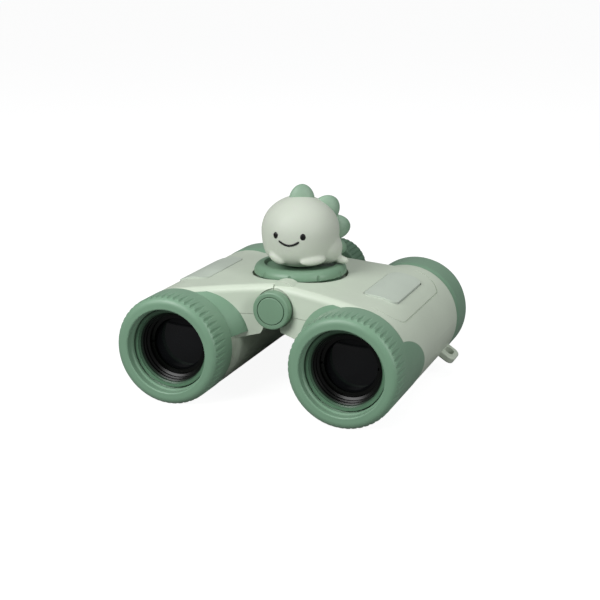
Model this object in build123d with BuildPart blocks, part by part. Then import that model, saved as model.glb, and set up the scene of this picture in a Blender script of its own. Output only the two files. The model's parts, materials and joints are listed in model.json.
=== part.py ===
"""Children's folding binoculars with a turning toy on the bridge, millimetres.

Frame: +X right, +Y from the objectives to the eyecups, +Z up. The origin is under the middle of
the housing, on the table that the rubber rings and the eyecups stand on. The right half is fixed;
the left half folds about the hinge, whose axis runs along Y.
"""
from build123d import *
import math
import os

# ---------------------------------------------------------------- driving dimensions
barrel_x = 33.0          # half the distance between the optical axes, fully open
axis_z = 20.0            # optical axes above the table
hinge_z = 33.7           # hinge axis above the table
fold_angle = 38.0        # travel of the left half
notch_angle = 13.0       # the right half's side of the notch under the hinge, from upright
deck_lean = 4.3          # the deck falls outwards by this angle

ring_r = 20.0            # objective rings and eyecups
body_r = 19.9            # barrel housing
nose_r = 17.8            # housing inside the objective ring
wall_t = 1.8             # housing wall
web_z = 24.8             # underside of the bridge at the hinge
web_fall = 2.9           # and this much lower where it meets the barrel
deck_low_z = 38.0        # every edge of the deck is above this

front_y = -48.0          # front of the objective rings
nose_y = -40.0           # front end of the housing
ring_end_y = -34.5       # rear edge of the objective rings
wall_y = -25.0           # front wall at the hinge
bridge_end_y = 26.0      # rear wall of the bridge
barrel_end_y = 30.0      # rear wall of the barrels
rear_y = 48.0            # rear of the eyecups

seam_x = -0.75           # the right half ends here above the hinge
seam_gap = 0.3           # clearance between the halves
parting_z = 31.2         # upper and lower shells meet here on the bridge side
parting_out_z = 6.3      # and here on the outer side
parting_gap = 0.15

knuckle_r = 5.6
knuckle_clear_r = 5.9
shaft_r = 3.4            # hinge tube
shaft_bore_r = 2.6
spindle_r = 1.6          # focus screw inside the hinge tube
running_gap = 0.05       # radial clearance of running fits
cap_r = 6.95
cap_front_y = -30.2

turn_y = -1.2            # axis of the turntable, on x = 0
well_r = 18.0            # well in the deck that the turntable lies in
well_floor_z = 38.6
disc_r = 17.3
disc_low_z = 40.9
disc_seat_z = 42.9       # seat under the retaining screw's head
disc_sink_z = 44.0       # sunk middle of the disc, which the toy stands on
disc_top_z = 45.2
boss_r = 4.0
turn_screw_r = 1.2

toy_r = 14.5             # toy's body, across
toy_half_h = 13.0        # top of the toy's body above its middle
toy_side_r = 12.0        # radius of its outline just above the middle
toy_z = 57.4             # centre of the toy's body
ridge_dir = (0.87, 0.49)  # the ridge of spikes runs down this side

rib_count = 54           # grip ribs round an objective ring
wheel_rib_count = 38
wheel_r = 12.0           # focus wheel
wheel_start_y = 30.2
wheel_end_y = 42.0

barrel_at = (barrel_x, 0, axis_z)
hinge_at = (0, 0, hinge_z)
turn_at = (0, turn_y, 0)
barrel_plane = Plane(origin=barrel_at, x_dir=(1, 0, 0), z_dir=(0, 0, 1))
hinge_plane = Plane(origin=hinge_at, x_dir=(1, 0, 0), z_dir=(0, 0, 1))
turn_plane = Plane(origin=turn_at, x_dir=(1, 0, 0), z_dir=(0, -1, 0))
barrel_axis = Axis(barrel_at, (0, 1, 0))
hinge_axis = Axis(hinge_at, (0, 1, 0))
turn_axis = Axis(turn_at, (0, 0, 1))

os.makedirs("parts", exist_ok=True)


# ---------------------------------------------------------------- helpers
def save(part, name):
    """Label one finished piece and write it as its own file."""
    part.label = name
    export_step(part, "parts/" + name + ".step")


def save_pair(part, name):
    """Write a piece of the right half and its mirror image in the left half."""
    save(part, "right_" + name)
    save(mirror(part, about=Plane.YZ), "left_" + name)


def turn(points, rounds=None, plane=barrel_plane, axis=barrel_axis, mode=Mode.ADD):
    """Turn a closed (radius, length) outline, its corners rounded as rounds says, about axis."""
    with BuildSketch(plane) as outline:
        with BuildLine():
            Polyline(*points, close=True)
        make_face()
        for corner, radius in (rounds or {}).items():
            fillet(outline.vertices().sort_by_distance(corner + (0,))[0], radius)
    revolve(outline.sketch, axis=axis, mode=mode)


def turn_hinge(points, rounds=None, mode=Mode.ADD):
    """Turn an outline about the hinge axis."""
    turn(points, rounds, hinge_plane, hinge_axis, mode)


def turn_disc(points, rounds=None, mode=Mode.ADD):
    """Turn a (radius, height) outline about the turntable's axis."""
    turn(points, rounds, turn_plane, turn_axis, mode)


def tube(radius, bore, start, end, mode=Mode.ADD):
    """Tube about the hinge axis, from y = start to y = end."""
    turn_hinge([(bore, start), (radius, start), (radius, end), (bore, end)], mode=mode)


def block(low, high, mode=Mode.ADD):
    """Box between two corners."""
    size = [b - a for a, b in zip(low, high)]
    middle = [(a + b) / 2 for a, b in zip(low, high)]
    with Locations(tuple(middle)):
        Box(*size, mode=mode)


def bulge_at_half(radius, bulge):
    """Height of a spherical cap of the given rim radius and height, at half its radius."""
    sphere_r = (radius ** 2 + bulge ** 2) / (2 * abs(bulge))
    height = abs(bulge) - sphere_r + math.sqrt(sphere_r ** 2 - radius ** 2 / 4)
    return math.copysign(height, bulge)


def lens(radius, front, rear, front_bulge, rear_bulge):
    """Round lens on the optical axis: its rim runs from y = front to y = rear."""
    front_half = (radius / 2, front - bulge_at_half(radius, front_bulge))
    rear_half = (radius / 2, rear + bulge_at_half(radius, rear_bulge))
    with BuildSketch(barrel_plane) as outline:
        with BuildLine():
            Line((0, front - front_bulge), (0, rear + rear_bulge))
            ThreePointArc((0, rear + rear_bulge), rear_half, (radius, rear))
            Line((radius, rear), (radius, front))
            ThreePointArc((radius, front), front_half, (0, front - front_bulge))
        make_face()
    revolve(outline.sketch, axis=barrel_axis)


# ---------------------------------------------------------------- housing, right half
front_round = 2.6        # rounding of the deck's front and rear edges
rear_round = 1.6
flare_slope = 0.57


def section(inset, start, end):
    """Cross-section of the barrel and its half of the bridge, drawn out from start to end."""
    radius = body_r - inset
    lean = math.radians(deck_lean)
    touch = (barrel_x + radius * math.sin(lean), axis_z + radius * math.cos(lean))
    inner = seam_x + inset
    deck = touch[1] + (touch[0] - inner) * math.tan(lean)
    low = web_z + inset
    notch = (hinge_z - low) * math.tan(math.radians(notch_angle)) + inset
    with BuildPart() as body:
        with BuildSketch(Plane.XZ.offset(-end)):
            with BuildLine():
                Polyline((inner, deck), touch, barrel_at[::2], (barrel_x - radius + 0.6, low - web_fall),
                         (notch, low), (inner, hinge_z), close=True)
            make_face()
            with Locations((barrel_x, axis_z)):
                Circle(radius)
        extrude(amount=end - start)
    return body.part


def behind_wall(inset):
    """Everything behind the front wall, which sweeps forward from the hinge to the ring."""
    with BuildPart() as space:
        with BuildSketch(Plane.XY.offset(-1)):
            with BuildLine():
                ThreePointArc((-9, wall_y + 1 + inset), (12, wall_y - 3 + inset), (58, wall_y - 24 + inset))
                Polyline((58, wall_y - 24 + inset), (70, 60), (-9, 60), (-9, wall_y + 1 + inset))
            make_face()
        extrude(amount=62)
    return space.part


def flare_cone(radius, start, inset):
    """Cone round the barrel that widens from start towards the front wall, kept below the deck."""
    with BuildPart() as cone:
        turn([(0, start), (radius, start), (radius + flare_slope * 12, start + 12), (0, start + 12)])
    return cone.part & section(inset + 1.5, -38, -20)


def nose_flare(inset):
    """The housing's own flare, which joins the nose to the front wall."""
    return flare_cone(nose_r - inset, ring_end_y + 0.2 + inset, inset)


def half_body(inset):
    """Right half of the housing; an inset of 0 gives its skin, and wall_t its hollow."""
    solid = inset == 0
    nose_start = nose_y if solid else nose_y - 1
    flare = nose_flare(inset)
    with BuildPart() as half:
        add(section(inset, -60, bridge_end_y - inset))
        add(behind_wall(inset), mode=Mode.INTERSECT)
        if solid:
            fillet(half.edges().filter_by(is_deck_front), front_round)
            fillet(half.edges().filter_by(is_deck_rear), rear_round)
        block((-20, -70, -1), (80, ring_end_y + 0.2 + inset, 60), mode=Mode.SUBTRACT)
        add(flare)
        turn([(0, nose_start), (nose_r - inset, nose_start), (nose_r - inset, -20), (0, -20)])
        turn([(0, 0), (body_r - inset, 0), (body_r - inset, barrel_end_y - inset),
              (0, barrel_end_y - inset)], {(body_r, barrel_end_y): 0.8} if solid else None)
    return half.part


def is_deck_front(edge):
    """True for the edge between the deck and the swept front wall."""
    middle = edge.center()
    return middle.Z > deck_low_z and -50 < middle.Y < wall_y + 1 and abs(edge.tangent_at(0.5).Z) < 0.6


def is_deck_rear(edge):
    """True for the edge between the deck and the rear wall of the bridge."""
    middle = edge.center()
    return middle.Z > deck_low_z and abs(middle.Y - bridge_end_y) < 0.01 and middle.X < barrel_x


skin = half_body(0)
hollow = half_body(wall_t)

# the tongue of the objective ring lies in a recess on the outer side of the barrel
tongue_low_r = 18.9
with BuildPart() as tongue:
    with BuildSketch(Plane.YZ.offset(barrel_x)):
        with BuildLine():
            Spline((ring_end_y - 1, 29.6), (-27, 27.6), (-18.2, 21.8), (-14.6, 14.2), (-17.5, 7.2),
                   (-25, 3.0), (ring_end_y - 1, 2.0))
            Line((ring_end_y - 1, 2.0), (ring_end_y - 1, 29.6))
        make_face()
    extrude(amount=ring_r + 5)
    turn([(0, nose_y), (tongue_low_r, nose_y), (tongue_low_r, 0), (0, 0)], mode=Mode.SUBTRACT)
    turn([(ring_r, nose_y), (ring_r + 19, nose_y), (ring_r + 19, 0), (ring_r, 0)], mode=Mode.SUBTRACT)

# the rubber also covers the flare between the ring and the front wall, on the bridge side
cover_r = 19.4
with BuildPart() as flare_cover:
    add(flare_cone(cover_r, ring_end_y - 0.2, 0))
    add(behind_wall(0), mode=Mode.SUBTRACT)
    add(skin, mode=Mode.SUBTRACT)
    turn([(0, nose_y), (nose_r + 0.05, nose_y), (nose_r + 0.05, ring_end_y + 1), (0, ring_end_y + 1)],
         mode=Mode.SUBTRACT)
    block((-20, -60, -1), (80, 60, axis_z), mode=Mode.SUBTRACT)
    block((barrel_x, -60, -1), (80, 60, 60), mode=Mode.SUBTRACT)

# the thumb pad is let into the top of the barrel
pad_low_r = 18.9
pad_high_r = 20.45
pad_gap = 0.2
pad_length = 34.0
pad_width = 13.0
pad_middle = (36.5, -2.0)


def pad_solid(length, width, top_r):
    """Rounded plate on top of the barrel, from pad_low_r out to top_r."""
    with BuildPart() as plate:
        with BuildSketch(Plane.XY.offset(axis_z + 8)):
            with Locations(pad_middle):
                RectangleRounded(width, length, 3.2)
        extrude(amount=20)
        turn([(0, -30), (pad_low_r, -30), (pad_low_r, 40), (0, 40)], mode=Mode.SUBTRACT)
        turn([(top_r, -30), (top_r + 12, -30), (top_r + 12, 40), (top_r, 40)], mode=Mode.SUBTRACT)
    return plate.part


# shallow line round the pad's field, open towards the bridge
field_line_width = 0.35
field_line_depth = 0.3
field_round = 8.0
with BuildPart() as field_line:
    with BuildSketch(Plane.XY.offset(axis_z + 8)):
        with Locations((30, -3.5)):
            RectangleRounded(36, 55, field_round)
            RectangleRounded(36 - 2 * field_line_width, 55 - 2 * field_line_width,
                             field_round - field_line_width, mode=Mode.SUBTRACT)
    extrude(amount=20)
    block((0, -40, axis_z), (37, 40, 60), mode=Mode.SUBTRACT)
    turn([(0, -40), (body_r - field_line_depth, -40), (body_r - field_line_depth, 40), (0, 40)],
         mode=Mode.SUBTRACT)

# strap lug: a flat loop that stands out of the barrel, in the plane of the optical axis
lug_angle = 33.0
lug_y = 23.0
lug_root_r = 18.15
lug_tip_r = 25.6
lug_inner_r = 15.6
lug_slot_r = 21.9
lug_half_t = 1.35
lug_out = (math.cos(math.radians(lug_angle)), 0, -math.sin(math.radians(lug_angle)))
lug_plane = Plane(origin=(barrel_x, lug_y, axis_z), x_dir=(0, 1, 0), z_dir=(-lug_out[2], 0, lug_out[0]))
lug_side = 1 if lug_plane.y_dir.X > 0 else -1
with BuildPart() as strap_lug:
    with BuildSketch(lug_plane):
        with Locations((0, lug_side * (lug_inner_r + lug_tip_r) / 2)):
            RectangleRounded(10.4, lug_tip_r - lug_inner_r, 2.8)
        with Locations((0, lug_side * lug_slot_r)):
            RectangleRounded(5.2, 3.4, 1.6, mode=Mode.SUBTRACT)
    extrude(amount=lug_half_t, both=True)
    flats = strap_lug.faces().sort_by(Axis(barrel_at, tuple(lug_plane.z_dir)))
    fillet(flats[0].outer_wire().edges() + flats[-1].outer_wire().edges(), 0.7)
    turn([(0, 0), (lug_root_r, 0), (lug_root_r, 40), (0, 40)], mode=Mode.SUBTRACT)

# screws that hold the two shells together, and the posts they run in
screw_spots = [(10.2, -21.0), (10.2, 20.5)]
post_r = 2.8
screw_hole_r = 1.15
screw_clear_r = 1.3
screw_head_r = 2.1
screw_length = 9.4

# well of the turntable
with BuildPart() as well:
    with BuildSketch(Plane.XY.offset(well_floor_z)):
        with Locations((0, turn_y)):
            Circle(well_r)
    extrude(amount=20)

with BuildPart() as cavity:
    add(hollow)
    with BuildSketch(Plane.XY.offset(well_floor_z - 1.2)):
        with Locations((0, turn_y)):
            Circle(well_r + 1.2)
    extrude(amount=20, mode=Mode.SUBTRACT)
    turn_hinge([(0, -60), (knuckle_clear_r + 1.6, -60), (knuckle_clear_r + 1.6, 60), (0, 60)],
               mode=Mode.SUBTRACT)
    with BuildSketch():
        with Locations(*screw_spots):
            Circle(post_r)
    extrude(amount=60, mode=Mode.SUBTRACT)

ocular_r = 12.2
arm_window = ((-9, -17.5, 28.4), (10, -5.5, 36.2))
with BuildPart() as plain_shell:
    add(skin)
    add(cavity.part, mode=Mode.SUBTRACT)
    add(well.part, mode=Mode.SUBTRACT)
    add(tongue.part, mode=Mode.SUBTRACT)
    add(field_line.part, mode=Mode.SUBTRACT)
    add(pad_solid(pad_length, pad_width, pad_high_r + 10), mode=Mode.SUBTRACT)
    add(strap_lug.part, mode=Mode.SUBTRACT)
    turn_hinge([(0, -60), (knuckle_clear_r, -60), (knuckle_clear_r, 60), (0, 60)], mode=Mode.SUBTRACT)
    turn_hinge([(0, -60), (cap_r + 0.35, -60), (cap_r + 0.35, wall_y), (0, wall_y)], mode=Mode.SUBTRACT)
    turn([(0, 20), (ocular_r, 20), (ocular_r, 40), (0, 40)], mode=Mode.SUBTRACT)
    block(*arm_window, mode=Mode.SUBTRACT)

# upper and lower shells part on a stepped plane
with BuildPart() as upper_zone:
    block((-20, -60, parting_z), (31, 60, 70))
    block((31, -60, parting_out_z), (70, 60, 70))
with BuildPart() as lower_zone:
    block((-20, -60, -1), (31, 60, parting_z - parting_gap))
    block((31, -60, -1), (70, 60, parting_out_z - parting_gap))

with BuildPart() as half_upper:
    add(plain_shell.part)
    add(upper_zone.part, mode=Mode.INTERSECT)
    with BuildSketch(Plane.XY.offset(parting_z - 1)):
        with Locations(*screw_spots):
            Circle(screw_hole_r)
    extrude(amount=6, mode=Mode.SUBTRACT)
with BuildPart() as half_lower:
    add(plain_shell.part)
    add(lower_zone.part, mode=Mode.INTERSECT)
    with BuildSketch():
        with Locations(*screw_spots):
            Circle(screw_clear_r)
    extrude(amount=40, mode=Mode.SUBTRACT)
    with BuildSketch():
        with Locations(*screw_spots):
            Circle(screw_head_r + 0.2)
    extrude(amount=web_z + 1.4, mode=Mode.SUBTRACT)
with BuildPart() as shell_screws:
    with BuildSketch(Plane.XY.offset(web_z + 0.1)):
        with Locations(*screw_spots):
            Circle(screw_head_r)
    extrude(amount=1.3)
    with BuildSketch(Plane.XY.offset(web_z + 1.0)):
        with Locations(*screw_spots):
            Circle(screw_hole_r - 0.05)
    extrude(amount=screw_length)
    for spot in screw_spots:
        block((spot[0] - 1.5, spot[1] - 0.25, web_z), (spot[0] + 1.5, spot[1] + 0.25, web_z + 0.7),
              mode=Mode.SUBTRACT)
        block((spot[0] - 0.25, spot[1] - 1.5, web_z), (spot[0] + 0.25, spot[1] + 1.5, web_z + 0.7),
              mode=Mode.SUBTRACT)

# what the left half gives up: the seam above the hinge and the fold's notch below it
left_seam_x = seam_x - seam_gap
notch_reach = 40.0
fold_clear = 1.0
fold_edge = math.radians(270 + notch_angle - fold_angle - fold_clear)
with BuildPart() as left_relief:
    with BuildSketch(Plane.XZ.offset(-60)):
        with BuildLine():
            Polyline((left_seam_x, hinge_z), (left_seam_x, 80), (40, 80), (40, -5),
                     (notch_reach * math.cos(fold_edge), hinge_z + notch_reach * math.sin(fold_edge)),
                     close=True)
        make_face()
    extrude(amount=120)

# hinge knuckles, moulded on the upper shells: (start, end) along the hinge
right_knuckles = [(-25.0, -19.0), (-5.8, 4.0), (13.0, 19.8)]
left_knuckles = [(-18.8, -16.6), (4.2, 12.8), (20.0, 26.0)]


def with_knuckles(shell, spans, side):
    """Add one half's knuckles to its upper shell and bore them for the hinge tube."""
    with BuildPart() as result:
        add(shell)
        for start, end in spans:
            tube(knuckle_r, shaft_r + running_gap, start, end)
            low, high = sorted((side * 3.9, side * 7.6))
            block((low, start, parting_z), (high, end, hinge_z + 4.5))
        if side == 1:
            bore_r = turn_screw_r + 0.02
            turn_disc([(0, 37), (bore_r, 37), (bore_r, 42), (0, 42)], mode=Mode.SUBTRACT)
    return result.part


with BuildPart() as hump:
    with BuildSketch(Plane.XZ.offset(-(wall_y + 6.2))):
        with Locations((2.2, hinge_z + 3.2)):
            Circle(6.5)
    extrude(amount=5.8)
    add(upper_zone.part, mode=Mode.INTERSECT)
    block((-20, -60, 0), (seam_x, 60, 80), mode=Mode.SUBTRACT)
    turn_hinge([(0, -60), (knuckle_clear_r, -60), (knuckle_clear_r, 60), (0, 60)], mode=Mode.SUBTRACT)
    add(well.part, mode=Mode.SUBTRACT)

right_upper = with_knuckles(half_upper.part + hump.part, right_knuckles, 1)
left_upper = with_knuckles(mirror(half_upper.part, about=Plane.YZ) - left_relief.part, left_knuckles, -1)
save(right_upper, "right_upper_shell")
save(left_upper, "left_upper_shell")
save(half_lower.part, "right_lower_shell")
save(mirror(half_lower.part, about=Plane.YZ) - left_relief.part, "left_lower_shell")
save_pair(pad_solid(pad_length - 2 * pad_gap, pad_width - 2 * pad_gap, pad_high_r), "thumb_pad")
save_pair(strap_lug.part, "strap_lug")
save_pair(shell_screws.part, "shell_screws")

# ---------------------------------------------------------------- objective end
lip_r = 14.6             # inner lips of the rubber ring
mouth_r = 15.3
groove_r = 0.8           # grooves between the grip ribs: deep at the front, fading out behind
groove_depth = 0.6
groove_length = 9.0
groove_tilt = math.atan2(groove_depth, 8.0)


def groove_place(angle):
    """Where one groove's cutter starts, at this angle round the barrel, and how it leans outwards."""
    outward = Vector(math.cos(angle), 0, math.sin(angle))
    start = Vector(*barrel_at) + Vector(0, front_y + 1, 0) + outward * (ring_r + groove_r - groove_depth)
    lean = outward * math.sin(groove_tilt) + Vector(0, 1, 0) * math.cos(groove_tilt)
    return Location(Plane(origin=start, z_dir=lean))


with BuildPart() as objective_ring:
    turn([(nose_r + 0.05, ring_end_y), (ring_r, ring_end_y), (ring_r, front_y), (mouth_r, front_y),
          (mouth_r, -45.4), (lip_r + 0.2, -44.9), (lip_r + 0.2, -43.9), (mouth_r, -43.5),
          (mouth_r, -42.9), (lip_r, -42.4), (lip_r, nose_y - 0.05), (nose_r + 0.05, nose_y - 0.05)],
         {(ring_r, front_y): 2.7, (mouth_r, front_y): 0.6, (ring_r, ring_end_y): 0.4})
    with Locations(*[groove_place(2 * math.pi * k / rib_count) for k in range(rib_count)]):
        Cylinder(groove_r, groove_length, align=(Align.CENTER, Align.CENTER, Align.MIN), mode=Mode.SUBTRACT)
    add(tongue.part)
    add(flare_cover.part)
save_pair(objective_ring.part, "objective_ring")

cell_r = nose_r - wall_t - 0.02
objective_r = 10.9
with BuildPart() as objective_cell:
    turn([(cell_r, -39.9), (14.4, -39.9), (14.4, -43.6), (13.4, -43.6), (13.4, -43.0), (12.9, -42.6),
          (12.9, -41.8), (12.4, -41.4), (12.4, -40.6), (11.9, -40.2), (11.9, -39.4), (11.1, -38.9),
          (11.1, -32.6), (9.9, -32.6), (9.9, -31.4), (12.1, -29.5), (12.1, -6.2), (13.3, -6.2),
          (13.3, -27.5), (cell_r, -27.5)])
    block((barrel_x - 17, -16.9, axis_z - 1.6), (barrel_x, -6.0, axis_z + 9.6), mode=Mode.SUBTRACT)
save_pair(objective_cell.part, "objective_cell")

with BuildPart() as objective_lens:
    lens(objective_r, -36.4, -32.85, 1.1, 0.9)
save_pair(objective_lens.part, "objective_lens")

with BuildPart() as retaining_ring:
    turn([(9.7, -38.0), (11.05, -38.0), (11.05, -36.65), (10.3, -36.65), (9.7, -37.2)])
    for side in (-1, 1):
        block((barrel_x - 0.6 + side * 10.4, -38.5, axis_z - 0.5),
              (barrel_x + 0.6 + side * 10.4, -37.3, axis_z + 0.5), mode=Mode.SUBTRACT)
save_pair(retaining_ring.part, "retaining_ring")

# ---------------------------------------------------------------- focusing lens cells
slide_r = 12.02


def focus_cell(arm_start, arm_end, collar_bore, collar_r):
    """Sliding lens cell with an arm that reaches the hinge and ends in a collar round it."""
    with BuildPart() as cell:
        turn([(9.3, -15.2), (slide_r, -15.2), (slide_r, -8.2), (9.3, -8.2), (9.3, -9.8),
              (10.1, -9.8), (10.1, -14.6), (9.3, -14.6)])
        with BuildSketch(Plane.XZ.offset(-arm_end)):
            with BuildLine():
                Polyline((barrel_x - 10.6, axis_z - 1.2), (barrel_x - 9.9, axis_z + 3.6),
                         (7.4, hinge_z + 1.0), (3.5, hinge_z + 1.6), (3.5, hinge_z - 1.6),
                         (6.9, hinge_z - 2.6), (12.6, 26.4), (barrel_x - 13.4, axis_z + 1.0), close=True)
            make_face()
        extrude(amount=arm_end - arm_start)
        tube(collar_r, collar_bore, arm_start, arm_end)
        tube(collar_bore, 0.1, arm_start, arm_end, mode=Mode.SUBTRACT)
        turn([(0, -16), (9.3, -16), (9.3, -8), (0, -8)], mode=Mode.SUBTRACT)
        turn([(0, -14.6), (10.1, -14.6), (10.1, -9.8), (0, -9.8)], mode=Mode.SUBTRACT)
    return cell.part


# the crosshead slides on the hinge tube; a nut inside the tube drives it through two slots
hub_r = 4.5
groove_start = -12.4
groove_end = -9.4
cross_start = -14.6
cross_end = -8.2
with BuildPart() as focus_crosshead:
    tube(hub_r, shaft_r + running_gap, cross_start, cross_end)
    tube(knuckle_r, shaft_r + running_gap, groove_end, cross_end)
    tube(shaft_bore_r - running_gap, spindle_r + running_gap, cross_start, cross_end)
    with BuildSketch(Plane.YZ):
        with Locations(((groove_start + groove_end) / 2, hinge_z)):
            Circle(0.9)
    extrude(amount=hub_r - 0.3, both=True)
    turn_hinge([(0, cross_start - 1), (spindle_r + running_gap, cross_start - 1),
                (spindle_r + running_gap, cross_end + 1), (0, cross_end + 1)], mode=Mode.SUBTRACT)
save(focus_crosshead.part, "focus_crosshead")

right_cell = focus_cell(cross_start, groove_start, shaft_r + running_gap, knuckle_r)
left_cell = focus_cell(groove_start + 0.15, groove_end - 0.15, hub_r + running_gap, knuckle_r)
save(right_cell - focus_crosshead.part, "right_focus_cell")
save(mirror(left_cell, about=Plane.YZ), "left_focus_cell")

with BuildPart() as focus_lens:
    lens(10.05, -14.55, -12.0, -0.7, 0.6)
save_pair(focus_lens.part, "focus_lens")

# ---------------------------------------------------------------- prisms
prism_start = -5.4
prism_end = 16.0
prism_half = 7.5
with BuildPart() as prism_holder:
    turn([(0, prism_start), (body_r - wall_t - 0.03, prism_start), (body_r - wall_t - 0.03, prism_end),
          (0, prism_end)])
    block((barrel_x - prism_half - 0.1, prism_start + 1.5, axis_z - 11),
          (barrel_x + prism_half + 0.1, prism_end + 1, axis_z + 11), mode=Mode.SUBTRACT)
    turn([(0, prism_start - 1), (8.5, prism_start - 1), (8.5, prism_end), (0, prism_end)],
         mode=Mode.SUBTRACT)
save_pair(prism_holder.part, "prism_holder")


def prism(points, name):
    """Glass prism: an outline in the upright plane of the optical axis, drawn out sideways."""
    with BuildPart() as glass:
        with BuildSketch(Plane.YZ.offset(barrel_x)):
            with BuildLine():
                Polyline(*[(y, axis_z + z) for y, z in points], close=True)
            make_face()
        extrude(amount=prism_half, both=True)
    save_pair(glass.part, name)


prism([(-3.8, -8.5), (-3.8, 8.5), (4.4, 8.5), (11.0, 0.5), (3.4, -8.5)], "half_prism")
prism([(4.9, 10.5), (15.6, 10.5), (15.6, -8.8), (12.8, -8.8), (11.6, 0.7)], "roof_prism")

# ---------------------------------------------------------------- eyepieces
with BuildPart() as ocular_tube:
    turn([(10.5, 17.2), (ocular_r - 0.05, 17.2), (ocular_r - 0.05, 26.4), (14.0, 26.4), (14.0, 28.15),
          (ocular_r - 0.05, 28.15), (ocular_r - 0.05, 38.0), (9.2, 38.0), (9.2, 36.6), (10.5, 36.6)])
save_pair(ocular_tube.part, "ocular_tube")
with BuildPart() as field_lens:
    lens(10.45, 20.0, 23.2, 0.6, 1.4)
save_pair(field_lens.part, "field_lens")
with BuildPart() as eye_lens:
    lens(10.45, 32.6, 36.2, 1.2, 0.9)
save_pair(eye_lens.part, "eye_lens")
with BuildPart() as eyecup:
    turn([(ocular_r, barrel_end_y + 0.05), (19.3, barrel_end_y + 0.05), (ring_r, 33), (ring_r, 43.5),
          (18.6, rear_y), (15.6, rear_y), (10.7, 38.05), (ocular_r, 38.05)],
         {(19.3, barrel_end_y + 0.05): 0.5, (ring_r, 33): 3, (ring_r, 43.5): 4, (18.6, rear_y): 1.4,
          (15.6, rear_y): 0.9})
save_pair(eyecup.part, "eyecup")

# ---------------------------------------------------------------- hinge
shaft_front_y = -29.2
shaft_rear_y = 28.2
slot_half_w = 1.0
with BuildPart() as hinge_shaft:
    tube(shaft_r, shaft_bore_r, shaft_front_y, shaft_rear_y)
    block((-5, -14.0, hinge_z - slot_half_w), (5, -7.8, hinge_z + slot_half_w), mode=Mode.SUBTRACT)
save(hinge_shaft.part, "hinge_shaft")

with BuildPart() as hinge_cap:
    turn_hinge([(shaft_r, wall_y - 0.5), (cap_r - 0.8, wall_y - 0.5), (cap_r, wall_y - 1.6),
                (cap_r, cap_front_y), (5.2, cap_front_y), (5.2, shaft_front_y), (shaft_r, shaft_front_y)],
               {(cap_r, cap_front_y): 0.7, (5.2, cap_front_y): 0.15})
save(hinge_cap.part, "hinge_cap")
with BuildPart() as hinge_cap_disc:
    turn_hinge([(0, shaft_front_y - 0.05), (5.0, shaft_front_y - 0.05), (5.0, cap_front_y - 0.15),
                (0, cap_front_y - 0.15)], {(5.0, cap_front_y - 0.15): 0.3})
save(hinge_cap_disc.part, "hinge_cap_disc")

# ---------------------------------------------------------------- focus wheel
wheel_rib_depth = 0.4
wheel_groove_r = 0.75
with BuildPart() as focus_wheel:
    turn_hinge([(9.4, wheel_start_y), (wheel_r, wheel_start_y), (wheel_r, wheel_end_y), (9.4, wheel_end_y)],
               {(wheel_r, wheel_start_y): 1.0, (wheel_r, wheel_end_y): 1.2})
    with BuildSketch(Plane.XZ.offset(-43)):
        with Locations((0, hinge_z)):
            with PolarLocations(wheel_r + wheel_groove_r - wheel_rib_depth, wheel_rib_count):
                Circle(wheel_groove_r)
    extrude(amount=14, mode=Mode.SUBTRACT)
save(focus_wheel.part, "focus_wheel_grip")
with BuildPart() as wheel_hub:
    turn_hinge([(spindle_r, 28.6), (5.5, 28.6), (5.5, 29.6), (9.35, wheel_start_y), (9.35, wheel_end_y),
                (7.6, wheel_end_y), (7.6, 41.0), (spindle_r, 41.0)], {(9.35, wheel_end_y): 0.4})
save(wheel_hub.part, "focus_wheel_hub")
with BuildPart() as focus_screw:
    turn_hinge([(0, -17.6), (spindle_r, -17.6), (spindle_r, 41.2), (3.0, 41.2), (3.0, 42.4), (0, 42.4)],
               {(3.0, 42.4): 0.6})
save(focus_screw.part, "focus_screw")

# ---------------------------------------------------------------- turntable
base_low_z = 39.6
base_top_z = 40.6
turn_head_r = 4.7
notch_count = 10
with BuildPart() as turntable_base:
    turn_disc([(0, base_low_z), (15.5, base_low_z), (15.5, base_top_z), (boss_r, base_top_z),
               (boss_r, disc_seat_z + running_gap), (0, disc_seat_z + running_gap)])
    block((-2.4, turn_y - 4.2, hinge_z + 4.6), (2.4, turn_y + 4.2, base_low_z + 0.2))
    turn_hinge([(0, -20), (knuckle_r + 0.02, -20), (knuckle_r + 0.02, 20), (0, 20)], mode=Mode.SUBTRACT)
    with BuildSketch(Plane.XY.offset(well_floor_z)):
        with Locations((10.5, turn_y - 9.5), (10.5, turn_y + 9.5)):
            Circle(1.4)
    extrude(amount=base_low_z + 0.2 - well_floor_z)
    turn_disc([(0, 30), (turn_screw_r + 0.1, 30), (turn_screw_r + 0.1, 50), (0, 50)], mode=Mode.SUBTRACT)
save(turntable_base.part, "turntable_base")

with BuildPart() as turntable_disc:
    turn_disc([(boss_r + running_gap, disc_low_z), (15.6, disc_low_z), (disc_r, 41.9),
               (disc_r, disc_top_z), (13.6, disc_top_z), (12.8, disc_sink_z), (5.0, disc_sink_z),
               (5.0, disc_seat_z), (boss_r + running_gap, disc_seat_z)],
              {(disc_r, disc_top_z): 2.8, (15.6, disc_low_z): 0.5})
    with BuildSketch(Plane.XY.offset(disc_low_z - 1)):
        with Locations((0, turn_y)):
            with PolarLocations(disc_r + 0.4, notch_count, start_angle=-82):
                Circle(0.9)
    extrude(amount=8, mode=Mode.SUBTRACT)
save(turntable_disc.part, "turntable_disc")
with BuildPart() as turntable_screw:
    turn_disc([(0, 37.6), (turn_screw_r, 37.6), (turn_screw_r, disc_seat_z + running_gap),
               (turn_head_r, disc_seat_z + running_gap), (turn_head_r, disc_sink_z - 0.2),
               (0, disc_sink_z - 0.2)], {(turn_head_r, disc_sink_z - 0.2): 0.4})
save(turntable_screw.part, "turntable_screw")

# ---------------------------------------------------------------- toy on the turntable
toy_at = (0, turn_y, toy_z)
ridge_turn = math.degrees(math.atan2(ridge_dir[1], ridge_dir[0]))


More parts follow.
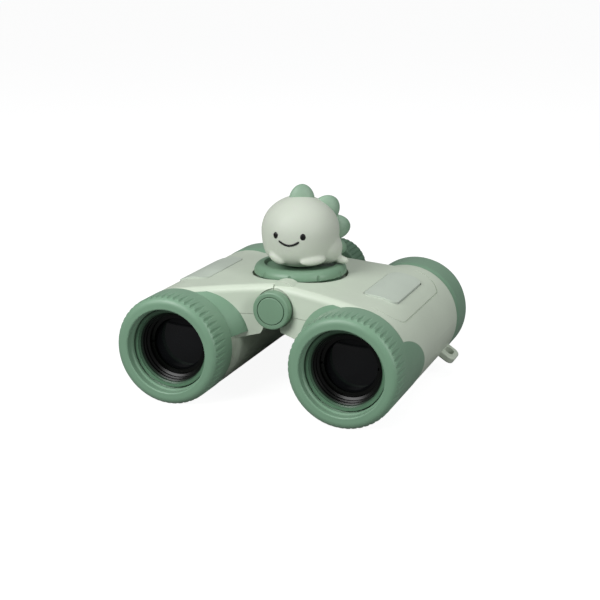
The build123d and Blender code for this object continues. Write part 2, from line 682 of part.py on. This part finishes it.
# the upper half's outline is a side arc and a cap arc; the lower half's is fuller, and has three arcs
# an arc is (centre out from the axis, centre up from the middle, radius); tilt is from straight up
toy_side_x = toy_r - toy_side_r
toy_cap_r = (toy_side_x ** 2 + toy_half_h ** 2 - toy_side_r ** 2) / (2 * (toy_half_h - toy_side_r))
toy_cap_tilt = math.atan2(toy_side_x, toy_cap_r - toy_half_h)
flank_r = 26.0
flank_tilt = math.radians(104.0)
haunch_r = 8.2
haunch_tilt = math.radians(162.0)
haunch_x = toy_r - flank_r + (flank_r - haunch_r) * math.sin(flank_tilt)
haunch_z = (flank_r - haunch_r) * math.cos(flank_tilt)
base_r = haunch_r + haunch_x / math.sin(haunch_tilt)
base_z = haunch_z - (base_r - haunch_r) * math.cos(haunch_tilt)
toy_arcs = [(0, 0.0, toy_half_h - toy_cap_r, toy_cap_r), (toy_cap_tilt, toy_side_x, 0, toy_side_r),
            (math.pi / 2, toy_r - flank_r, 0, flank_r), (flank_tilt, haunch_x, haunch_z, haunch_r),
            (haunch_tilt, 0.0, base_z, base_r)]


def arc_point(arc, tilt, inset=0.0):
    """Distance from the axis and height above the middle, where this arc faces this way (radians)."""
    start, out, up, radius = arc
    return out + (radius - inset) * math.sin(tilt), up + (radius - inset) * math.cos(tilt)


def toy_point(turn_deg, tilt_deg, lift=0.0):
    """Point of the body where it faces this way (turn about Z, tilt from the top), and that direction."""
    turn_rad, tilt = math.radians(turn_deg), math.radians(tilt_deg)
    normal = Vector(math.sin(tilt) * math.cos(turn_rad), math.sin(tilt) * math.sin(turn_rad), math.cos(tilt))
    out, up = arc_point([arc for arc in toy_arcs if arc[0] <= tilt][-1], tilt)
    spot = Vector(*toy_at) + Vector(out * math.cos(turn_rad), out * math.sin(turn_rad), up)
    return spot + normal * lift, normal


def toy_ball(inset):
    """Round body of the toy: an inset of 0 gives its skin."""
    ends = [arc[0] for arc in toy_arcs[1:]] + [math.pi]
    with BuildPart() as ball:
        with BuildSketch(turn_plane) as outline:
            with BuildLine():
                for arc, end in zip(toy_arcs, ends):
                    spots = [arc_point(arc, tilt, inset) for tilt in (arc[0], (arc[0] + end) / 2, end)]
                    ThreePointArc(*[(out, toy_z + up) for out, up in spots])
                Line((0, toy_z + toy_half_h - inset), (0, toy_z + base_z - base_r + inset))
            make_face()
        revolve(outline.sketch, axis=turn_axis)
    return ball.part


face_turn = -86.0        # the face looks this way, about Z from +X
eye_tilt = 88.0
eye_spread = 21.0
spike_half_t = 2.2
spike_root = 2.4         # depth that a spike's outline reaches into the body
spikes = ((2, 4.2, 4.7), (46, 3.6, 4.5), (90, 4.1, 4.4), (126, 3.3, 3.6))  # tilt, height, half width

with BuildPart() as toy_spikes:
    for tilt, height, half_w in spikes:
        foot, normal = toy_point(ridge_turn, tilt, -spike_root)
        along = toy_point(ridge_turn, tilt + 90)[1]
        spike_plane = Plane(origin=foot, x_dir=along, z_dir=normal.cross(along))
        top = math.copysign(spike_root + height, spike_plane.y_dir.dot(normal))
        with BuildSketch(spike_plane) as petal:
            with BuildLine():
                Line((-half_w, 0), (half_w, 0))
                ThreePointArc((half_w, 0), (half_w * 0.74, top * 0.66), (0, top))
                ThreePointArc((0, top), (-half_w * 0.74, top * 0.66), (-half_w, 0))
            make_face()
        extrude(petal.sketch, amount=spike_half_t, both=True)
    add(toy_ball(0), mode=Mode.SUBTRACT)

with BuildPart() as toy_eyes:
    for side in (-1, 1):
        foot, normal = toy_point(face_turn + side * eye_spread, eye_tilt, -0.6)
        with BuildSketch(Plane(origin=foot, x_dir=(0, 0, 1), z_dir=normal)) as pupil:
            Ellipse(1.3, 1.1)
        extrude(pupil.sketch, amount=0.95)

smile_half = 13.5        # half the smile's width, in degrees about Z
smile_r = 0.3
with BuildPart() as toy_mouth:
    ends = [toy_point(face_turn - smile_half, 93.5)[0], toy_point(face_turn, 100)[0],
            toy_point(face_turn + smile_half, 93.5)[0]]
    with BuildLine() as smile:
        ThreePointArc(*ends)
    with BuildSketch(Plane(origin=ends[0], z_dir=smile.line.edge() % 0)):
        Circle(smile_r)
    sweep(path=smile.line)

tail_root = Vector(11.0, 0.8, 48.2)
tail_tip = Vector(16.2, 1.0, 46.9)
tail_root_r = 2.6
glue_gap = 0.02
tail_tip_r = 2.0
with BuildPart() as toy_tail:
    tail_plane = Plane(origin=tail_root, z_dir=tail_tip - tail_root)
    tail_length = (tail_tip - tail_root).length
    with Locations(Location(tail_plane)):
        Sphere(tail_root_r)
        Cone(tail_root_r - 0.15, tail_tip_r, tail_length, align=(Align.CENTER, Align.CENTER, Align.MIN))
    with Locations(tail_tip):
        Sphere(tail_tip_r)
    block((-30, -30, 0), (30, 30, disc_top_z), mode=Mode.SUBTRACT)
    add(toy_ball(-glue_gap), mode=Mode.SUBTRACT)
    add(toy_spikes.part, mode=Mode.SUBTRACT)

paw_r = 1.9
paws = ((-29, 128, 0.8), (29, 130, 2.4))  # turn from the face, tilt, half the length between the round ends
with BuildPart() as toy_paws:
    for turn_deg, tilt, reach in paws:
        spot = toy_point(face_turn + turn_deg, tilt)[0]
        step = Vector(-math.sin(math.radians(face_turn + turn_deg)),
                      math.cos(math.radians(face_turn + turn_deg)), 0) * reach
        with Locations(spot - step, spot + step):
            Sphere(paw_r)
        with Locations(Location(Plane(origin=spot - step, z_dir=step))):
            Cylinder(paw_r, 2 * reach, align=(Align.CENTER, Align.CENTER, Align.MIN))
    add(toy_ball(0), mode=Mode.SUBTRACT)
    block((-30, -30, 0), (30, 30, disc_sink_z), mode=Mode.SUBTRACT)

toy_wall = 1.6
vent_r = 4.6             # hole in the foot of the hollow body
foot_r = 6.0
with BuildPart() as toy_body:
    add(toy_ball(0))
    turn_disc([(0, disc_sink_z), (foot_r, disc_sink_z), (foot_r, disc_sink_z + 2), (0, disc_sink_z + 2)])
    add(toy_ball(toy_wall), mode=Mode.SUBTRACT)
    with Locations((0, turn_y, disc_sink_z)):
        Cylinder(vent_r, 8, mode=Mode.SUBTRACT)
    add(toy_eyes.part, mode=Mode.SUBTRACT)
    add(toy_mouth.part, mode=Mode.SUBTRACT)
save(toy_body.part, "dinosaur_body")
save(toy_spikes.part, "dinosaur_spikes")
save(toy_eyes.part, "dinosaur_eyes")
save(toy_mouth.part, "dinosaur_mouth")
save(toy_paws.part, "dinosaur_paws")
save(toy_tail.part, "dinosaur_tail")
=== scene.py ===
"""Looks of the children's folding binoculars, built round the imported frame.

Metres, in the frame's own axes: +X right, +Y from the objectives to the eyecups, +Z up.
"""

import json
import math
from collections import namedtuple

import bmesh
import bpy
from mathutils import Matrix, Vector


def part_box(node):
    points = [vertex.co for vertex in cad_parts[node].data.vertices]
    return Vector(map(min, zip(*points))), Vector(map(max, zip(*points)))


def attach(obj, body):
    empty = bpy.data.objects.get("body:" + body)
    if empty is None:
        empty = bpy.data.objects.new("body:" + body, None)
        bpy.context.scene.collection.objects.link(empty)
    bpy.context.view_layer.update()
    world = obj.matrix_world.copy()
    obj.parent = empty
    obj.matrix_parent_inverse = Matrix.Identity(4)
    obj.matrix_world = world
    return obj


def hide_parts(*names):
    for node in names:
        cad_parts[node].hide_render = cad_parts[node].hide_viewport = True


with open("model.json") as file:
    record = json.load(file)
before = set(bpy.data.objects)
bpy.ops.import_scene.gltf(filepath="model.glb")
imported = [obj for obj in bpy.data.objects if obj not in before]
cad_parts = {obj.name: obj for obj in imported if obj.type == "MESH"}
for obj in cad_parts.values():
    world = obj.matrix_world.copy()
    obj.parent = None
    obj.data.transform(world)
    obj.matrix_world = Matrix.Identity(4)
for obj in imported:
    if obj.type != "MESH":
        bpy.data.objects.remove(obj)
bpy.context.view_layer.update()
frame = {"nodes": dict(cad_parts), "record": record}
nodes = frame["nodes"]
scene = bpy.context.scene
MM = 0.001
SIDES = ("right", "left")
WHITE = (1, 1, 1, 1)
NOISE_LOW, NOISE_HIGH = 0.3, 0.7  # nearly all values of a noise texture lie between these


# ---------------------------------------------------------------- materials
def srgb(red, green, blue):
    """A colour given as 0-255 display values, as the linear colour that shaders use."""
    def linear(value):
        value /= 255
        return value / 12.92 if value <= 0.04045 else ((value + 0.055) / 1.055) ** 2.4
    return (linear(red), linear(green), linear(blue), 1.0)


def grey(value):
    """A linear grey."""
    return (value, value, value, 1)


class Material:
    """A node material with its Principled shader and the object's coordinates.

    Keyword arguments set sockets of the shader, with underscores for the spaces in their names.
    """

    def __init__(self, name, roughness, **sockets):
        self.material = bpy.data.materials.new(name)
        self.material.use_nodes = True
        self.tree = self.material.node_tree
        self.shader = self.tree.nodes["Principled BSDF"]
        self.place = self.add("ShaderNodeTexCoord").outputs["Object"]
        self.shader.inputs["Roughness"].default_value = roughness
        for socket, value in sockets.items():
            self.shader.inputs[socket.replace("_", " ")].default_value = value

    def add(self, kind, **settings):
        node = self.tree.nodes.new(kind)
        for name, value in settings.items():
            setattr(node, name, value)
        return node

    def link(self, start, end):
        self.tree.links.new(start, end)

    def drive(self, socket, value):
        """Let a node's output set a socket of the shader."""
        self.link(value, self.shader.inputs[socket])

    def noise(self, scale, detail=3.0, stretch=(1, 1, 1)):
        """Noise that repeats about every 1/scale metres."""
        mapping = self.add("ShaderNodeMapping")
        mapping.inputs["Scale"].default_value = stretch
        self.link(self.place, mapping.inputs["Vector"])
        noise = self.add("ShaderNodeTexNoise")
        noise.inputs["Scale"].default_value = scale
        noise.inputs["Detail"].default_value = detail
        self.link(mapping.outputs["Vector"], noise.inputs["Vector"])
        return noise.outputs["Fac"]

    def ramp(self, factor, *stops):
        """Colour ramp through (position, colour) stops."""
        ramp = self.add("ShaderNodeValToRGB")
        points = ramp.color_ramp.elements
        while len(points) < len(stops):
            points.new(0.5)
        for point, (position, colour) in zip(points, stops):
            point.position = position
            point.color = colour
        self.link(factor, ramp.inputs["Fac"])
        return ramp.outputs["Color"]

    def remap(self, value, low, high, to_low, to_high):
        """Straight-line change of a value from one range to another, held at the ends."""
        remap = self.add("ShaderNodeMapRange")
        for name, number in (("From Min", low), ("From Max", high),
                             ("To Min", to_low), ("To Max", to_high)):
            remap.inputs[name].default_value = number
        self.link(value, remap.inputs["Value"])
        return remap.outputs["Result"]

    def wander(self, noise, first, second):
        """Base colour that wanders between two colours with a noise."""
        self.drive("Base Color", self.ramp(noise, (NOISE_LOW, first), (NOISE_HIGH, second)))

    def cloud(self, colour, noise, dimmest):
        """Base colour that a noise dims in places, down to this share of it."""
        cloud = self.ramp(noise, (NOISE_LOW, grey(dimmest)), (NOISE_HIGH, WHITE))
        mix = self.add("ShaderNodeMix", data_type="RGBA", blend_type="MULTIPLY")
        next(s for s in mix.inputs if s.type == "VALUE").default_value = 1.0
        first, second = [s for s in mix.inputs if s.type == "RGBA"]
        self.link(colour, first)
        self.link(cloud, second)
        self.drive("Base Color", next(s for s in mix.outputs if s.type == "RGBA"))

    def grain(self, scale, depth, stretch=(1, 1, 1), strength=0.5):
        """Fine bumps of the surface, about 1/scale metres apart and this many metres deep."""
        bump = self.add("ShaderNodeBump")
        bump.inputs["Strength"].default_value = strength
        bump.inputs["Distance"].default_value = depth
        self.link(self.noise(scale, 2, stretch), bump.inputs["Height"])
        self.drive("Normal", bump.outputs["Normal"])


def moulded_plastic(name, colour, roughness, cloud, grain, grain_depth, **sockets):
    """Moulded plastic: a fine spark-eroded grain, faint flow clouds and uneven gloss.

    cloud is the share by which the colour varies, grain the number of grains in a metre.
    """
    flow_scale, gloss_scale, gloss_detail = 38, 160, 5
    glossier, duller = 0.05, 0.06
    made = Material(name, roughness, **sockets)
    dark, light = [tuple(c * (1 + change) for c in colour[:3]) + (1,) for change in (-cloud, cloud)]
    made.wander(made.noise(flow_scale), dark, light)
    made.drive("Roughness", made.remap(made.noise(gloss_scale, gloss_detail), NOISE_LOW, NOISE_HIGH,
                                       roughness - glossier, roughness + duller))
    made.grain(grain, grain_depth)
    return made.material


def cell_material(front, back):
    """Moulded cell of an objective: green at its mouth like the ring's rubber, black well before
    its back; the green darkens and fades into the black with depth as painted shade of the deep
    well.

    front and back are Y places in the object's coordinates.
    """
    made = Material("objective_cell", 0.3, Specular_IOR_Level=0.25)
    axes = made.add("ShaderNodeSeparateXYZ")
    made.link(made.place, axes.inputs[0])
    depth = made.remap(axes.outputs["Y"], front, back, 0.0, 1.0)
    # painted shade: the mouth's green darkens with depth and fades into the black of the well
    paint = made.ramp(depth, (0.0, srgb(92, 126, 101)), (0.3, srgb(50, 72, 56)),
                      (0.55, srgb(8, 10, 8)), (1.0, srgb(4, 5, 4)))
    made.cloud(paint, made.noise(200), 0.88)
    made.grain(3000, 2e-6)
    return made.material


def glass_material(name, roughness, first, second, **sockets):
    """Glass with a tint that varies a little between two colours."""
    made = Material(name, roughness, **sockets)
    made.wander(made.noise(60), first, second)
    return made.material


def steel_material():
    """Steel with fine draw marks along the Y axis."""
    made = Material("steel", 0.3, Metallic=1.0)
    made.wander(made.noise(900, 2, (1, 0.05, 1)), srgb(150, 152, 155), srgb(190, 191, 193))
    made.grain(2500, 3e-6, (1, 0.04, 1), 0.6)
    return made.material


def toy_spike_material(centre, low, high):
    """Sprayed green, stronger at the tip of a spike (high from centre) than at its root (low)."""
    made = Material("toy_spikes", 0.55)
    offset = made.add("ShaderNodeVectorMath", operation="DISTANCE")
    made.link(made.place, offset.inputs[0])
    offset.inputs[1].default_value = centre
    reach = made.remap(offset.outputs["Value"], low, high, 0.0, 1.0)
    paint = made.ramp(reach, (0.0, srgb(140, 168, 145)), (0.4, srgb(138, 166, 144)),
                      (1.0, srgb(116, 147, 123)))
    made.cloud(paint, made.noise(300), 0.93)
    made.grain(2400, 5e-6)
    return made.material


# ---------------------------------------------------------------- places read from the frame
toy_low, toy_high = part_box("dinosaur_body")
toy_r = (toy_high.x - toy_low.x) / 2
toy_half_h = 13.0 * MM
toy_at = Vector(((toy_low.x + toy_high.x) / 2, (toy_low.y + toy_high.y) / 2,
                 toy_high.z - toy_half_h))
cell_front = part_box("right_objective_cell")[0].y
# depth over which the cell's green fades to black, partly painted shade of the deep well
cell_fade_depth = 4.0 * MM

slot_materials = {
    "housing": moulded_plastic("housing", srgb(197, 208, 191), 0.38, 0.035, 2600, 6e-6),
    "thumb_pad": moulded_plastic("thumb_pad", srgb(192, 203, 190), 0.36, 0.03, 3400, 4e-6),
    "rubber": moulded_plastic("rubber", srgb(112, 147, 121), 0.42, 0.05, 2000, 8e-6,
                              Sheen_Weight=0.12, Sheen_Roughness=0.5),
    "green_plastic": moulded_plastic("green_plastic", srgb(112, 144, 119), 0.4, 0.05, 3000, 4e-6),
    "black_plastic": moulded_plastic("black_plastic", srgb(4, 5, 4), 0.24, 0.3, 3000, 2e-6,
                                     Specular_IOR_Level=0.2),
    # over a dark barrel, so it is opaque: its coating gives a faint grey reflection
    "coated_glass": glass_material("coated_glass", 0.05, srgb(13, 14, 15), srgb(19, 20, 22),
                                   IOR=1.5, Specular_IOR_Level=0.22),
    "clear_glass": glass_material("clear_glass", 0.03, srgb(232, 240, 236), srgb(240, 246, 242),
                                  IOR=1.52, Transmission_Weight=1.0),
    "steel": steel_material(),
    # matte soft vinyl, very slightly translucent
    "toy_skin": moulded_plastic("toy_skin", srgb(190, 197, 184), 0.6, 0.02, 2600, 4e-6,
                                Subsurface_Weight=0.08, Subsurface_Radius=(0.6, 0.9, 0.5),
                                Subsurface_Scale=0.002),
    "toy_spikes": toy_spike_material(toy_at, 13.6 * MM, 18.4 * MM),
    "print_black": moulded_plastic("print_black", srgb(8, 8, 8), 0.4, 0.2, 1800, 2e-6,
                                   Specular_IOR_Level=0.3),
}


# ---------------------------------------------------------------- pieces
def dress(piece, material):
    """Give a piece this material alone."""
    piece.data.materials.clear()
    piece.data.materials.append(material)


def new_piece(name, body, slot, replaced=()):
    """Empty mesh piece on a body, with its slot's material, that stands for the replaced nodes."""
    piece = bpy.data.objects.new(name, bpy.data.meshes.new(name))
    scene.collection.objects.link(piece)
    dress(piece, slot_materials[slot])
    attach(piece, body)
    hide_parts(*replaced)
    return piece


def smooth(piece):
    """Shade every face of a piece smoothly."""
    for face in piece.data.polygons:
        face.use_smooth = True


def fill(piece, mesh):
    """Write a bmesh into a piece, with smooth shading."""
    bmesh.ops.recalc_face_normals(mesh, faces=mesh.faces)
    mesh.to_mesh(piece.data)
    mesh.free()
    smooth(piece)


def settle(piece):
    """Apply the piece's modifiers, so that its mesh is final."""
    graph = bpy.context.evaluated_depsgraph_get()
    final = bpy.data.meshes.new_from_object(piece.evaluated_get(graph), depsgraph=graph)
    piece.modifiers.clear()
    old = piece.data
    piece.data = final
    bpy.data.meshes.remove(old)
    smooth(piece)


def circle(count):
    """Evenly spaced angles round a full turn."""
    return [2 * math.pi * k / count for k in range(count)]


def add_walls(mesh, loops):
    """Faces between each closed loop of vertices and the next one."""
    for first, second in zip(loops, loops[1:]):
        for i in range(len(first)):
            j = (i + 1) % len(first)
            mesh.faces.new((first[i], first[j], second[j], second[i]))


def add_ball(mesh, centre, half_sizes, turn=Matrix.Identity(3), rings=24):
    """Ellipsoid with these half sizes, its axes turned by a rotation matrix."""
    stretch = Matrix.Diagonal((*half_sizes, 1))
    matrix = Matrix.Translation(centre) @ turn.to_4x4() @ stretch
    bmesh.ops.create_uvsphere(mesh, u_segments=2 * rings, v_segments=rings, radius=1.0,
                              matrix=matrix)


for subpart in frame["record"]["subparts"]:
    dress(nodes[subpart["node"]], slot_materials[subpart["material_slot"]])
dress(nodes["focus_wheel_grip"],
      moulded_plastic("wheel_rubber", srgb(82, 110, 90), 0.55, 0.05, 2000, 8e-6))
for side in SIDES:
    dress(nodes[side + "_objective_cell"], cell_material(cell_front, cell_front + cell_fade_depth))


# ---------------------------------------------------------------- toy
# Angles are in degrees. A turn is about Z, a tilt is measured from the top.
FACE_TURN = -86.0
EYE_TURN, EYE_TILT, EYE_SUNK = 21.0, 88, 0.25 * MM
EYE_HALF_SIZES = (1.1 * MM, 1.3 * MM, 0.55 * MM)
SMILE_HALF_TURN, SMILE_ENDS_TILT, SMILE_SAG = 15.5, 93.0, 3.4
SMILE_R, SMILE_FLATNESS = 0.42 * MM, 0.6

PAWS = (  # turn from the face, tilt, half sizes in millimetres, roll
    (-26, 122, (3.5, 1.7, 1.5), -35),
    (39, 124, (5.0, 1.7, 2.0), 6),
)
HAUNCH_TURN, HAUNCH_TILT, HAUNCH_SUNK = 10, 116, 6.4 * MM
HAUNCH_HALF_SIZES = (8.6 * MM, 7.0 * MM, 8.6 * MM)
TAIL_ROOT = Vector((14.6, 0.8, 47.1)) * MM
TAIL_TIP = Vector((17.0, 1.0, 46.7)) * MM
TAIL_BALLS, TAIL_ROOT_R, TAIL_TAPER = 5, 1.7, 0.4  # radius and taper in millimetres

RIDGE_TURN = 29.4
SPIKES = (  # tilt, height, half width along the ridge, in millimetres
    (2, 4.2, 4.8), (43, 3.9, 5.0), (86, 4.3, 4.8), (107, 3.9, 3.6),
)
SPIKE_SUNK, SPIKE_HALF_DEPTH = 1.2, 2.5  # millimetres
TIP_TAPER, SHOULDER_TAPER = 0.02, -0.1

Arc = namedtuple("Arc", "start_tilt out up radius")


def toy_outline():
    """Arcs of the toy's outline from its top down, each touching the next: where an arc starts,
    in radians of tilt, how far its centre is out from the axis and up from toy_at, its radius.
    """
    side_r, flank_r, corner_r = 12.0 * MM, 26.0 * MM, 8.2 * MM
    flank_tilt, base_tilt = math.radians(104), math.radians(162)
    side_out = toy_r - side_r
    cap_r = (side_out ** 2 + toy_half_h ** 2 - side_r ** 2) / (2 * (toy_half_h - side_r))
    cap_up = toy_half_h - cap_r
    corner_out = toy_r - flank_r + (flank_r - corner_r) * math.sin(flank_tilt)
    corner_up = (flank_r - corner_r) * math.cos(flank_tilt)
    base_r = corner_r + corner_out / math.sin(base_tilt)
    base_up = corner_up - (base_r - corner_r) * math.cos(base_tilt)
    return (Arc(0, 0, cap_up, cap_r),
            Arc(math.atan2(side_out, -cap_up), side_out, 0, side_r),
            Arc(math.pi / 2, toy_r - flank_r, 0, flank_r),
            Arc(flank_tilt, corner_out, corner_up, corner_r),
            Arc(base_tilt, 0, base_up, base_r))


toy_arcs = toy_outline()


def toy_point(turn_deg, tilt_deg, lift=0.0):
    """Point of the toy's body that faces this way, lifted off the skin, and the way it faces."""
    turn, tilt = math.radians(turn_deg), math.radians(tilt_deg)
    flat = Vector((math.cos(turn), math.sin(turn), 0))
    normal = flat * math.sin(tilt) + Vector((0, 0, math.cos(tilt)))
    arc = [arc for arc in toy_arcs if arc.start_tilt <= tilt + 1e-9][-1]
    centre = toy_at + flat * arc.out + Vector((0, 0, arc.up))
    return centre + normal * (arc.radius + lift), normal


def upright_frame(outward):
    """Rotation whose x runs level, y runs up the body and z outward."""
    side = Vector((0, 0, 1)).cross(outward).normalized()
    return Matrix((side, outward.cross(side), outward)).transposed()


def toy_body():
    """Body, haunch, paws and tail, moulded in one and blended where they meet."""
    mesh = bmesh.new()
    columns, rows = 96, 64
    loops = [[mesh.verts.new(toy_point(360 * column / columns, 180 * row / rows)[0])
              for column in range(columns)] for row in range(1, rows)]
    top, bottom = [mesh.verts.new(toy_point(0, tilt)[0]) for tilt in (0.0, 180.0)]
    add_walls(mesh, loops)
    for i in range(columns):
        j = (i + 1) % columns
        mesh.faces.new((top, loops[0][j], loops[0][i]))
        mesh.faces.new((bottom, loops[-1][i], loops[-1][j]))
    for turn, tilt, half_sizes, roll in PAWS:
        spot, outward = toy_point(FACE_TURN + turn, tilt)
        lean = upright_frame(outward) @ Matrix.Rotation(math.radians(roll), 3, "Z")
        add_ball(mesh, spot, [size * MM for size in half_sizes], lean)
    haunch, outward = toy_point(HAUNCH_TURN, HAUNCH_TILT, -HAUNCH_SUNK)
    add_ball(mesh, haunch, HAUNCH_HALF_SIZES, upright_frame(outward))
    for ball in range(TAIL_BALLS):
        share = ball / (TAIL_BALLS - 1)
        radius = (TAIL_ROOT_R - TAIL_TAPER * share) * MM
        add_ball(mesh, TAIL_ROOT.lerp(TAIL_TIP, share), (radius, radius, radius), rings=16)
    piece = new_piece("toy_body", "turntable", "toy_skin",
                      ("dinosaur_body", "dinosaur_paws", "dinosaur_tail"))
    fill(piece, mesh)
    remesh = piece.modifiers.new("join", "REMESH")
    remesh.mode = "VOXEL"
    remesh.voxel_size = 0.38 * MM
    soften = piece.modifiers.new("soften", "SMOOTH")
    soften.factor = 0.5
    soften.iterations = 12
    settle(piece)


def toy_spikes():
    """Row of rounded petals down the ridge: balls that narrow towards their outer end."""
    mesh = bmesh.new()
    for tilt, height, half_width in SPIKES:
        foot, outward = toy_point(RIDGE_TURN, tilt, -SPIKE_SUNK * MM)
        along = toy_point(RIDGE_TURN, tilt + 90)[1]
        turn = Matrix((along, outward.cross(along), outward)).transposed()
        ball = bmesh.ops.create_uvsphere(mesh, u_segments=40, v_segments=28, radius=1.0)
        for vert in ball["verts"]:
            x, y, rise = vert.co
            narrow = (1 - rise) ** TIP_TAPER * (1 + rise) ** SHOULDER_TAPER if 0 < rise < 1 else 1.0
            local = Vector((x * half_width * narrow, y * SPIKE_HALF_DEPTH * narrow,
                            rise * (height + SPIKE_SUNK)))
            vert.co = foot + turn @ (local * MM)
    fill(new_piece("toy_spikes", "turntable", "toy_spikes", ("dinosaur_spikes",)), mesh)


def toy_eyes():
    """Two plain round eyes, slightly domed."""
    mesh = bmesh.new()
    for turn in (-EYE_TURN, EYE_TURN):
        spot, outward = toy_point(FACE_TURN + turn, EYE_TILT, -EYE_SUNK)
        add_ball(mesh, spot, EYE_HALF_SIZES, upright_frame(outward))
    fill(new_piece("toy_eyes", "turntable", "print_black", ("dinosaur_eyes",)), mesh)


def smile_point(share):
    """Point of the smile's middle line, for a share from -1 at one end to 1 at the other."""
    return toy_point(FACE_TURN + SMILE_HALF_TURN * share,
                     SMILE_ENDS_TILT + SMILE_SAG * (1 - share ** 2))


def toy_smile():
    """Plain smile: a thin raised line with tapering ends."""
    mesh = bmesh.new()
    steps, sides = 40, 12
    look_ahead, end_taper, taper_power = 0.01, 0.6, 16
    loops = []
    for step in range(steps + 1):
        share = 2 * step / steps - 1
        spot, outward = smile_point(share)
        along = (smile_point(share + look_ahead)[0] - spot).normalized()
        across = along.cross(outward)
        radius = SMILE_R * (1 - end_taper * abs(share) ** taper_power)
        loops.append([mesh.verts.new(spot + radius * (outward * math.cos(angle) * SMILE_FLATNESS
                                                      + across * math.sin(angle)))
                      for angle in circle(sides)])
    add_walls(mesh, loops)
    mesh.faces.new(loops[0][::-1])
    mesh.faces.new(loops[-1])
    fill(new_piece("toy_smile", "turntable", "print_black", ("dinosaur_mouth",)), mesh)


toy_body()
toy_spikes()
toy_eyes()
toy_smile()


# ---------------------------------------------------------------- objectives
def objective_lens(side):
    """Domed glass of an objective: fine rings of faces, so that it mirrors the light smoothly."""
    node = side + "_objective_lens"
    low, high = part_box(node)
    radius = (high.x - low.x) / 2
    depth = high.y - low.y
    centre = (low + high) / 2
    columns, rings, dome = 96, 30, 1.3 * MM
    profile = [(radius * k / rings, dome * (k / rings) ** 2) for k in range(1, rings + 1)]
    profile.append((radius, depth * 0.8))  # end of the rim, then a small bevel and the flat back
    profile += [(radius * share, depth) for share in (0.96, 0.5, 0.1)]
    mesh = bmesh.new()
    loops = [[mesh.verts.new((centre.x + out * math.cos(angle), low.y + back,
                              centre.z + out * math.sin(angle)))
              for angle in circle(columns)] for out, back in profile]
    add_walls(mesh, loops)
    mesh.faces.new(loops[0])
    mesh.faces.new(loops[-1][::-1])
    fill(new_piece(side + "_lens_glass", side + "_half", "coated_glass", (node,)), mesh)


for side in SIDES:
    objective_lens(side)


# ---------------------------------------------------------------- floor, light and camera
def floor():
    """Pale floor that the camera sees as nearly white, with a faint shadow."""
    half_side, glow = 12.0, 0.93
    mesh = bmesh.new()
    bmesh.ops.create_grid(mesh, x_segments=1, y_segments=1, size=half_side)
    piece = bpy.data.objects.new("floor", bpy.data.meshes.new("floor"))
    mesh.to_mesh(piece.data)
    mesh.free()
    scene.collection.objects.link(piece)
    made = Material("floor", 0.9, Emission_Color=WHITE)
    camera_ray = made.add("ShaderNodeLightPath").outputs["Is Camera Ray"]
    made.drive("Emission Strength", made.remap(camera_ray, 0, 1, 0.0, glow))
    made.wander(made.noise(4), grey(0.17), grey(0.18))
    piece.data.materials.append(made.material)


def area_light(name, position, width, height, power):
    """Softbox aimed at the object; power in watts."""
    target = Vector((0, 0, 0.03))
    lamp = bpy.data.lights.new(name, "AREA")
    lamp.shape = "RECTANGLE"
    lamp.size = width
    lamp.size_y = height
    lamp.energy = power
    light = bpy.data.objects.new(name, lamp)
    light.location = position
    light.rotation_euler = (target - Vector(position)).to_track_quat("-Z", "Y").to_euler()
    scene.collection.objects.link(light)


def surroundings():
    """Dim even surroundings, which the camera sees as white behind the object."""
    shown_strength, light_strength, light_colour = 0.98, 0.16, (0.96, 0.98, 1.0, 1)
    world = bpy.data.worlds.new("studio")
    scene.world = world
    world.use_nodes = True
    tree = world.node_tree
    shown = tree.nodes["Background"]
    shown.inputs["Color"].default_value = WHITE
    shown.inputs["Strength"].default_value = shown_strength
    lighting = tree.nodes.new("ShaderNodeBackground")
    lighting.inputs["Color"].default_value = light_colour
    lighting.inputs["Strength"].default_value = light_strength
    path = tree.nodes.new("ShaderNodeLightPath")
    choice = tree.nodes.new("ShaderNodeMixShader")
    tree.links.new(path.outputs["Is Camera Ray"], choice.inputs["Fac"])
    tree.links.new(lighting.outputs["Background"], choice.inputs[1])
    tree.links.new(shown.outputs["Background"], choice.inputs[2])
    tree.links.new(choice.outputs["Shader"], tree.nodes["World Output"].inputs["Surface"])


def camera():
    """Camera in front of the objectives, to the right and above."""
    position = Vector((0.1591, -0.4024, 0.1521))
    ahead = Vector((-0.35519, 0.89449, -0.27155)).normalized()
    rough_up = Vector((-0.10022, 0.25238, 0.96243))
    side = ahead.cross(rough_up).normalized()
    turn = Matrix((side, side.cross(ahead), -ahead)).transposed()
    lens = bpy.data.cameras.new("camera")
    lens.lens = 71.34
    lens.sensor_width = 36
    lens.clip_start = 0.01
    view = bpy.data.objects.new("camera", lens)
    view.matrix_world = Matrix.Translation(position) @ turn.to_4x4()
    scene.collection.objects.link(view)
    scene.camera = view


floor()
area_light("key", (-0.3, -0.6, 0.5), 0.5, 0.45, 6.2)
area_light("top", (0.1, 0.1, 0.9), 0.6, 0.6, 2.0)
area_light("right", (0.75, -0.3, 0.4), 0.25, 0.5, 3.0)
surroundings()
camera()
scene.view_settings.view_transform = "Standard"
